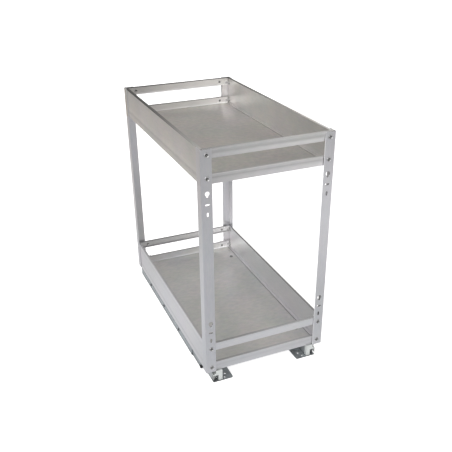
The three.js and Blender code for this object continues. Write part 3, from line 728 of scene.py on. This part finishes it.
def zinc_coat(name, tone, roughness, cell_contrast, level_tone=1.0, front_gain=0.0, lines=()):
    """A zinc coat: cells of slightly different tone, with a fine grain over them."""
    material, tree, shader = new_finish(name)
    cells = add(tree, "ShaderNodeTexVoronoi", {"Vector": point(tree), "Scale": zinc_cells})
    cell = add(tree, "ShaderNodeSeparateColor", {0: cells.outputs["Color"]}).outputs[0]
    cell_tone = maths(tree, "MULTIPLY_ADD", maths(tree, "SUBTRACT", cell, 0.5), cell_contrast, 1.0)
    brushed = use(tree, grain, Stretch=stretch_along(deep), Contrast=0.12)
    cloudy = use(tree, patches, Stretch=(18, 18, 18), Contrast=0.25)
    # Painted shade in inner corners.
    occlusion_shade = use(tree, corners, Reach=4 * mm, Depth=0.3)
    soft = use(tree, edges, Radius=0.4 * mm)
    # Painted shade on level faces, lighter towards the front.
    lips = use(tree, level, **{"Rear Tone": level_tone, "Front Gain": front_gain, "Under Tone": level_tone})
    shade = times(tree, cell_tone, brushed["Tone"], cloudy["Tone"], occlusion_shade["Tone"], lips["Tone"])
    coloured = tinted(tree, tone, with_lines(tree, shade, lines))
    # Painted highlight along the edges.
    coloured = blend(tree, times(tree, soft["Edge"], edge_highlight_gain), coloured, zinc_edge_highlight)
    rough = maths(tree, "MULTIPLY_ADD", cell, cell_roughness, roughness)
    normal = bumpy(tree, *zinc_bump, cell, soft["Normal"])
    feed(tree, shader, {"Base Color": coloured, "Roughness": rough, "Metallic": zinc_metallic,
                        "Normal": normal})
    return material


zinc_finishes = {
    # A painted contact shadow at the foot of the web and a painted highlight above it.
    "base_zinc": zinc_coat("base_zinc", srgb(156, 161, 164), 0.38, 0.3, level_tone=0.55, front_gain=0.95,
                           lines=[(0, 3.5, -0.75), (13, 6, 0.25)]),
    "runner_zinc": zinc_coat("runner_zinc", srgb(186, 190, 191), 0.3, 0.12),
    "cage_steel": zinc_coat("cage_steel", srgb(180, 180, 180), 0.25, 0.05),
    "screw_zinc": zinc_coat("screw_zinc", srgb(205, 205, 205), 0.22, 0.06),
}
print("zinc finishes:", sorted(zinc_finishes))

# %% [markdown]
# ## Plastic and rubber
#
# The front caps are white moulded plastic and the bumpers are black rubber. Both have a fine pebbled skin
# from the mould, which a small noise in the bump gives. The outer lug and the outer top corner of each cap
# lie in the shade of the slide and the tray, and two bands of their finish are darker for that.

# %% Moulded finishes
skin_roughness, pebble_strength = 0.12, 0.3


def moulded(name, tone, roughness, pebble_scale, pebble_depth, shades=()):
    """A moulded finish: pebbled skin, slightly uneven tone, painted corner shade and shaded outer bands."""
    material, tree, shader = new_finish(name)
    pebbles = add(tree, "ShaderNodeTexNoise", {"Vector": point(tree), "Scale": pebble_scale, "Detail": 2.0})
    cloudy = use(tree, patches, Stretch=(90, 90, 90), Contrast=0.14)
    # Painted shade in inner corners and under the tray.
    occlusion_shade = use(tree, corners, Reach=12 * mm, Depth=0.5)
    shade = times(tree, cloudy["Tone"], occlusion_shade["Tone"])
    place = place_of(tree)
    for start, middle, reach, band_tone in shades:
        beyond = maths(tree, "GREATER_THAN", maths(tree, "ABSOLUTE", place["X"]), start)
        band = times(tree, beyond, maths(tree, "COMPARE", place["Z"], middle, reach))
        shade = times(tree, shade, where(tree, band, band_tone))
    rough = maths(tree, "MULTIPLY_ADD", cloudy["Mask"], skin_roughness, roughness)
    normal = bumpy(tree, pebble_strength, pebble_depth, pebbles.outputs["Fac"])
    feed(tree, shader, {"Base Color": tinted(tree, tone, shade), "Roughness": rough, "Normal": normal})
    return material


cap_end = -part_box("left_front_cap")[0].x
lug_shade = (cap_end - 5.8 * mm, 7.6 * mm, 7.6 * mm, 0.4)
top_corner_shade = (cap_end - 5.2 * mm, 23.0 * mm, 3.2 * mm, 0.2)
moulded_finishes = {
    # The caps' tone is a little darker than white nylon, partly as painted shade under the tray.
    "white_nylon": moulded("white_nylon", srgb(192, 196, 195), 0.42, 1600.0, 0.03 * mm,
                           [lug_shade, top_corner_shade]),
    "black_rubber": moulded("black_rubber", srgb(34, 34, 35), 0.62, 2200.0, 0.06 * mm),
}
print("moulded finishes:", sorted(moulded_finishes))

# %% [markdown]
# Each node of the solid model gets the finish of its kind, which the end of its name tells. The walls,
# rails and floors of the two trays differ a little, so theirs are looked up by tray, and the lower walls by
# their own name.

# %% Put the finishes on the solid model's nodes
finishes = {**sheet_finishes, **zinc_finishes, **moulded_finishes}
finish_by_ending = {
    "post": "post",
    "cabinet_runner": "base_zinc", "middle_runner": "base_zinc", "basket_runner": "runner_zinc",
    "ball_cage": "cage_steel", "screw": "screw_zinc", "rivet": "screw_zinc",
    "front_cap": "white_nylon", "end_bumper": "black_rubber",
}


def finish_of(node):
    """The finish that suits a node, by its name or the last word or words of it."""
    if node in finishes:
        return node
    for sheet in ("wall", "rail", "floor"):
        if node.endswith(sheet):
            return node.split("_")[0] + "_" + sheet
    return next(finish for ending, finish in finish_by_ending.items() if node.endswith(ending))


for name, node in nodes.items():
    node.data.materials.clear()
    node.data.materials.append(finishes[finish_of(name)])
print("finished nodes:", len(nodes))

# %% [markdown]
# ## Screws
#
# Screws with a dished head hold the rails and the slides: the photo shows a dark ring round a light middle,
# with a bright spot on the lower right, as a hollow cone does. Besides the cone's own shading, the ring and
# the recess are painted dark as shade. On the real screw the head is upset from wire, the recess is punched
# and the thread is rolled, so all its forms are round but the recess. Here a profile is turned round its
# axis, and two tapered bars are cut out of the middle.

# %% Turned and punched forms
def skinned(name, rings, closed=False):
    """A mesh of faces between rings of points, with flat ends if it is closed. A ring may be one point."""
    shape = bmesh.new()
    loops = [[shape.verts.new(point) for point in ring] for ring in rings]
    sides = max(len(loop) for loop in loops)
    for upper, lower in zip(loops, loops[1:]):
        for step in range(sides):
            after = (step + 1) % sides
            face = [upper[step % len(upper)], lower[step % len(lower)],
                    lower[after % len(lower)], upper[after % len(upper)]]
            shape.faces.new(list(dict.fromkeys(face)))
    if closed:
        shape.faces.new(loops[0])
        shape.faces.new(loops[-1])
    bmesh.ops.recalc_face_normals(shape, faces=shape.faces)
    mesh = bpy.data.meshes.new(name)
    shape.to_mesh(mesh)
    shape.free()
    return mesh


def turned(name, profile, sides):
    """A mesh made by turning a line of (radius, height) points round Z."""
    rings = []
    for radius, height in profile:
        count = sides if radius > 0 else 1
        angles = [2 * math.pi * step / sides for step in range(count)]
        rings.append([(radius * math.cos(a), radius * math.sin(a), height) for a in angles])
    return skinned(name, rings)


def tapered_bar(name, length, width, top, bottom, taper, turn):
    """A bar that lies across Z and narrows downwards, for cutting a recess."""
    mesh = bpy.data.meshes.new(name)
    shape = bmesh.new()
    bmesh.ops.create_cube(shape, size=1)
    for vert in shape.verts:
        share, height = (1.0, top) if vert.co.z > 0 else (taper, bottom)
        vert.co = Vector((vert.co.x * length * share, vert.co.y * width * share, height))
    bmesh.ops.rotate(shape, verts=shape.verts, matrix=Matrix.Rotation(turn, 3, "Z"))
    shape.to_mesh(mesh)
    shape.free()
    return mesh


def carved(mesh, cutters):
    """A mesh with others cut out of it. The cut faces take the cutters' material."""
    block = bpy.data.objects.new("block", mesh)
    tools = [bpy.data.objects.new("tool", cutter) for cutter in cutters]
    for obj in (block, *tools):
        scene.collection.objects.link(obj)
    for tool in tools:
        cut = block.modifiers.new("cut", "BOOLEAN")
        cut.operation = "DIFFERENCE"
        cut.solver = "EXACT"
        cut.material_mode = "TRANSFER"
        cut.object = tool
    bpy.context.view_layer.update()
    cut_block = block.evaluated_get(bpy.context.evaluated_depsgraph_get())
    cut_mesh = bpy.data.meshes.new_from_object(cut_block)
    for obj in (block, *tools):
        bpy.data.objects.remove(obj)
    return cut_mesh


def smooth(mesh, sharp_angle):
    """Smooth shading, with edges left sharp where faces meet at more than an angle."""
    mesh.polygons.foreach_set("use_smooth", [True] * len(mesh.polygons))
    mesh.set_sharp_from_angle(angle=math.radians(sharp_angle))
    return mesh


print("forms ready")

# %% [markdown]
# The three kinds of screw differ in length and in how much of the dish is painted dark as shade. The solid
# model gives each length, and the profile of the head is drawn in shares of its radius and height. The thread
# could be a true helix, but it is hidden in its hole, so plain rings stand for it.

# %% Screw meshes
screw_sides, screw_sharp_angle = 32, 35
head_radius, head_height = 4.0 * mm, 2.4 * mm
shank_radius = 2.0 * mm
thread_pitch, thread_core, thread_crest = 0.7 * mm, 0.84, 0.1
recess_span, recess_width, recess_depth, recess_taper = 1.9 * mm, 0.5 * mm, 0.7 * mm, 0.5
recess_margin = 0.1 * mm
groove_start, groove_end, wide_groove_end = 0.31, 0.7, 0.9
small_head = 0.72
head_line = [  # from the middle out
    (0, 0.4), (0.3, 0.38), (0.36, 0.08), (0.42, 0.06), (0.64, 0.3),
    (0.88, 0.6), (0.95, 0.62), (1, 0.5), (0.97, 0),
]
# Painted shade: a dark finish for the dish's ring and the cross recess.
painted_recess_shade = moulded("painted_recess_shade", srgb(38, 37, 36), 0.5, 1500.0, 0.02 * mm)


def screw_mesh(name, length, head_share=1.0, shade_to=groove_end):
    """A dish-head screw of a whole length, with its seat at height 0 and its head above."""
    profile = [(radius * head_radius * head_share, height * head_height) for radius, height in head_line]
    shank = length - head_height
    profile.append((shank_radius, 0))
    for turn in range(int(shank / thread_pitch)):
        profile.append((shank_radius, -turn * thread_pitch - thread_crest * thread_pitch))
        profile.append((thread_core * shank_radius, -(turn + 0.5) * thread_pitch))
    profile += [(thread_core * shank_radius, -shank), (0, -shank)]
    mesh = turned(name, profile, screw_sides)
    for finish in (finishes["screw_zinc"], painted_recess_shade):
        mesh.materials.append(finish)
    for face in mesh.polygons:
        away = Vector(face.center).to_2d().length / (head_radius * head_share)
        # The ring of the dish takes the painted shade.
        face.material_index = int(face.center.z > 0 and groove_start < away < shade_to)
    bars = []
    middle = head_line[0][1] * head_height
    for turn in (0, math.pi / 2):
        bar = tapered_bar("recess_bar", recess_span, recess_width, middle + recess_margin,
                          middle - recess_depth, recess_taper, turn)
        bar.materials.append(painted_recess_shade)
        bars.append(bar)
    return smooth(carved(mesh, bars), screw_sharp_angle)


def node_length(node, axis):
    """The length of a node's box along an axis."""
    low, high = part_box(node)
    return (high - low)[axis]


front_length = node_length("upper_left_top_front_screw", deep)
rear_length = node_length("upper_left_top_rear_screw", deep)
floor_length = node_length("left_front_floor_screw", upright)
screw_meshes = {
    "front_screw": screw_mesh("front_screw", front_length),
    "rear_screw": screw_mesh("rear_screw", rear_length, head_share=small_head),
    "floor_screw": screw_mesh("floor_screw", floor_length, shade_to=wide_groove_end),
}
print("screw meshes:", {name: len(mesh.polygons) for name, mesh in screw_meshes.items()})

# %% [markdown]
# Screws that were driven by hand stop at any angle, so each one is turned by a random amount, with a fixed
# seed to get the same picture each time. Every screw takes the place of its plain node and rides with the
# basket.

# %% Put the screws in their places
random.seed(7)
towards_front, upwards = (0, -1, 0), (0, 0, 1)


def put(name, mesh, matrix):
    """A piece with a mesh at its place in the frame."""
    piece = bpy.data.objects.new(name, mesh)
    piece.matrix_world = matrix
    scene.collection.objects.link(piece)
    return piece


def stand(name, mesh, seat, out, spin):
    """A piece whose local Z points along a direction from its seat, turned round that direction."""
    aim = Vector(out).to_track_quat("Z", "Y").to_matrix().to_4x4()
    return put(name, mesh, Matrix.Translation(seat) @ aim @ Matrix.Rotation(spin, 4, "Z"))


def head_seat(node, out, height):
    """The middle of the seat under a fastener's head, from its box and the way its head faces."""
    low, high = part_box(node)
    seat = (low + high) / 2
    for axis in range(3):
        if out[axis] > 0:
            seat[axis] = high[axis] - height
        elif out[axis] < 0:
            seat[axis] = low[axis] + height
    return seat


screws = [name for name in nodes if name.endswith("_screw")]
for name in screws:
    kind = next(kind for kind in screw_meshes if name.endswith(kind))
    out = upwards if kind == "floor_screw" else towards_front
    piece = stand("detailed_" + name, screw_meshes[kind], head_seat(name, out, head_height), out,
                  random.uniform(0, math.pi / 2))
    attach(piece, "basket")
    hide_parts(name)
print("screws:", len(screws))

# %% [markdown]
# ## Rivets
#
# The side walls are riveted to the rear posts with blind rivets: a low dome with a small hole where the
# pulling pin broke off. They are round like the screws, so they are turned in the same way, and take the
# places of their plain nodes.

# %% Blind rivets
rivet_sides, rivet_sharp_angle = 28, 40
rivet_radius, rivet_height = 3.5 * mm, 1.8 * mm
rivet_line = [  # from the middle out
    (0, 0.5), (0.25, 0.5), (0.3, 0.96), (0.42, 1), (0.65, 0.9),
    (0.85, 0.64), (0.97, 0.34), (1, 0.1), (0.97, 0),
]


def rivet_mesh(name, radius, height, line, shank_length):
    """A rivet with its seat at height 0, its head above and a plain shank below."""
    profile = [(r * radius, h * height) for r, h in line]
    if shank_length > 0:
        profile += [(shank_radius, 0), (shank_radius, -shank_length)]
    profile.append((0, -shank_length))
    mesh = turned(name, profile, rivet_sides)
    mesh.materials.append(finishes["screw_zinc"])
    return smooth(mesh, rivet_sharp_angle)


rivet_length = node_length("upper_left_top_post_rivet", across)
blind_rivet = rivet_mesh("blind_rivet", rivet_radius, rivet_height, rivet_line, rivet_length - rivet_height)
rivets = [name for name in nodes if name.endswith("_rivet")]
for name in rivets:
    inwards = (1, 0, 0) if "_left_" in name else (-1, 0, 0)
    piece = stand("detailed_" + name, blind_rivet, head_seat(name, inwards, rivet_height), inwards, 0)
    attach(piece, "basket")
    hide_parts(name)
print("blind rivets:", len(rivets))

# %% [markdown]
# The photo also shows flatter rivet heads on the rear rails, over the rear posts. The solid model has no
# nodes for those, so they are extra pieces here that ride with the basket.

# %% Flat rivets
flat_radius, flat_height = 2.6 * mm, 0.8 * mm
flat_line = [(0, 1), (0.6, 0.97), (0.85, 0.75), (0.97, 0.4), (1, 0)]
flat_inset = 9.0 * mm
flat_drops = {"top": 12.0 * mm, "bottom": 54.0 * mm}
flat_rivet = rivet_mesh("flat_rivet", flat_radius, flat_height, flat_line, 0)
flat_count = 0
for tray in ("upper", "lower"):
    tray_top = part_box(tray + "_left_wall")[1].z
    for side, sign in (("left", -1), ("right", 1)):
        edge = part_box(f"rear_{side}_post")[0 if sign < 0 else 1].x
        rail_face = head_seat(f"{tray}_{side}_top_rear_screw", towards_front, head_height).y
        for row, drop in flat_drops.items():
            seat = Vector((edge - sign * flat_inset, rail_face, tray_top - drop))
            piece = stand(f"{tray}_{side}_{row}_flat_rivet", flat_rivet, seat, towards_front, 0)
            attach(piece, "basket")
            flat_count += 1
print("flat rivets:", flat_count)

# %% [markdown]
# ## Caps and bumpers
#
# Moulded parts have no sharp edges. New meshes could be drawn for them, but their shapes are already right,
# so the caps and bumpers keep their nodes of the solid model, and a small bevel rounds all their edges.

# %% Rounded edges
rounding_width, rounding_steps, rounding_angle = 0.5 * mm, 3, 40
rounded_nodes = [name for name in nodes if name.endswith(("front_cap", "end_bumper"))]
for name in rounded_nodes:
    rounding = nodes[name].modifiers.new("rounded_edges", "BEVEL")
    rounding.width = rounding_width
    rounding.segments = rounding_steps
    rounding.limit_method = "ANGLE"
    rounding.angle_limit = math.radians(rounding_angle)
print("rounded:", rounded_nodes)

# %% [markdown]
# ## Dark plugs in the web slots
#
# Along the guard web of each slide the photo shows small black marks, one at each slot. Black plugs fill the
# slots as painted shade, so that they show dark: a flat oval plug with a slightly larger head outside. The
# plug is drawn as an outline of two half circles and pushed out in layers, each a ring of points, so its rim
# is rounded.

# %% Dark plugs in the guard webs
half_circle = 10
plug_sharp_angle = 40
clip_length, clip_width, clip_head = 8.6 * mm, 4.2 * mm, 0.8 * mm
clip_layers = [(0.0, 0.55), (0.0, 0.8), (0.25, 1.0), (0.7, 1.0), (0.8, 0.8), (2.0, 0.8)]
slot_first, slot_pitch, slot_count, slot_height = 179 * mm, 102 * mm, 3, 11.6 * mm


def oval(length, width):
    """Points round an oval with half circles at its ends, long along Y."""
    reach = (length - width) / 2
    points = []
    for step in range(2 * (half_circle + 1)):
        angle = math.pi * (step - step // (half_circle + 1)) / half_circle
        middle = reach if step <= half_circle else -reach
        points.append((width / 2 * math.cos(angle), middle + width / 2 * math.sin(angle)))
    return points


def plug_mesh(name, length, width, layers, finish):
    """An oval plug with its outer face at height 0, from layers of a depth in mm and a share of the width."""
    rings = []
    for depth, share in layers:
        outline = oval(length - (1 - share) * width, width * share)
        rings.append([(x, y, -depth * mm) for x, y in outline])
    mesh = skinned(name, rings, closed=True)
    mesh.materials.append(finishes[finish])
    return smooth(mesh, plug_sharp_angle)


# Black plugs that stand in for the shade in the slots.
slot_shade_plug = plug_mesh("slot_shade_plug", clip_length, clip_width, clip_layers, "black_rubber")
for side, sign in (("left", -1), ("right", 1)):
    low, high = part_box(f"{side}_cabinet_runner")
    web = low.x if sign < 0 else high.x
    outwards = Matrix.Rotation(sign * math.pi / 2, 4, "Y")
    for index in range(slot_count):
        place = Vector((web + sign * clip_head, low.y + slot_first + index * slot_pitch, slot_height))
        piece = put(f"{side}_slot_shade_plug_{index + 1}", slot_shade_plug, Matrix.Translation(place) @ outwards)
        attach(piece, "cabinet_base")
print("web clips:", 2 * slot_count)

# %% [markdown]
# ## Track tongues
#
# The base of each slide is one folded sheet, and the fold of its track leaves a narrow slot open at the
# front, below the cap. In the photo the base is closed there. A zinc tongue fills the slot: the same oval
# plug, laid flat and sunk a little below the sheet, so that no two faces lie in one plane.

# %% Tongues under the tracks
tongue_length, tongue_width = 10.0 * mm, 2.6 * mm
tongue_layers = [(0.0, 0.7), (0.05, 0.9), (0.2, 1.0), (1.2, 1.0), (1.3, 0.9)]
tongue_top = 1.4 * mm
tongue_setback = 0.1 * mm
tongue_mesh = plug_mesh("track_tongue", tongue_length, tongue_width, tongue_layers, "base_zinc")
for side in ("left", "right"):
    track_low, track_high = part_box(f"{side}_middle_runner")
    base_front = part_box(f"{side}_cabinet_runner")[0].y
    tongue_middle = base_front + tongue_setback + tongue_length / 2
    place = Vector(((track_low.x + track_high.x) / 2, tongue_middle, tongue_top))
    piece = put(f"{side}_track_tongue", tongue_mesh, Matrix.Translation(place))
    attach(piece, "cabinet_base")
print("track tongues: 2")
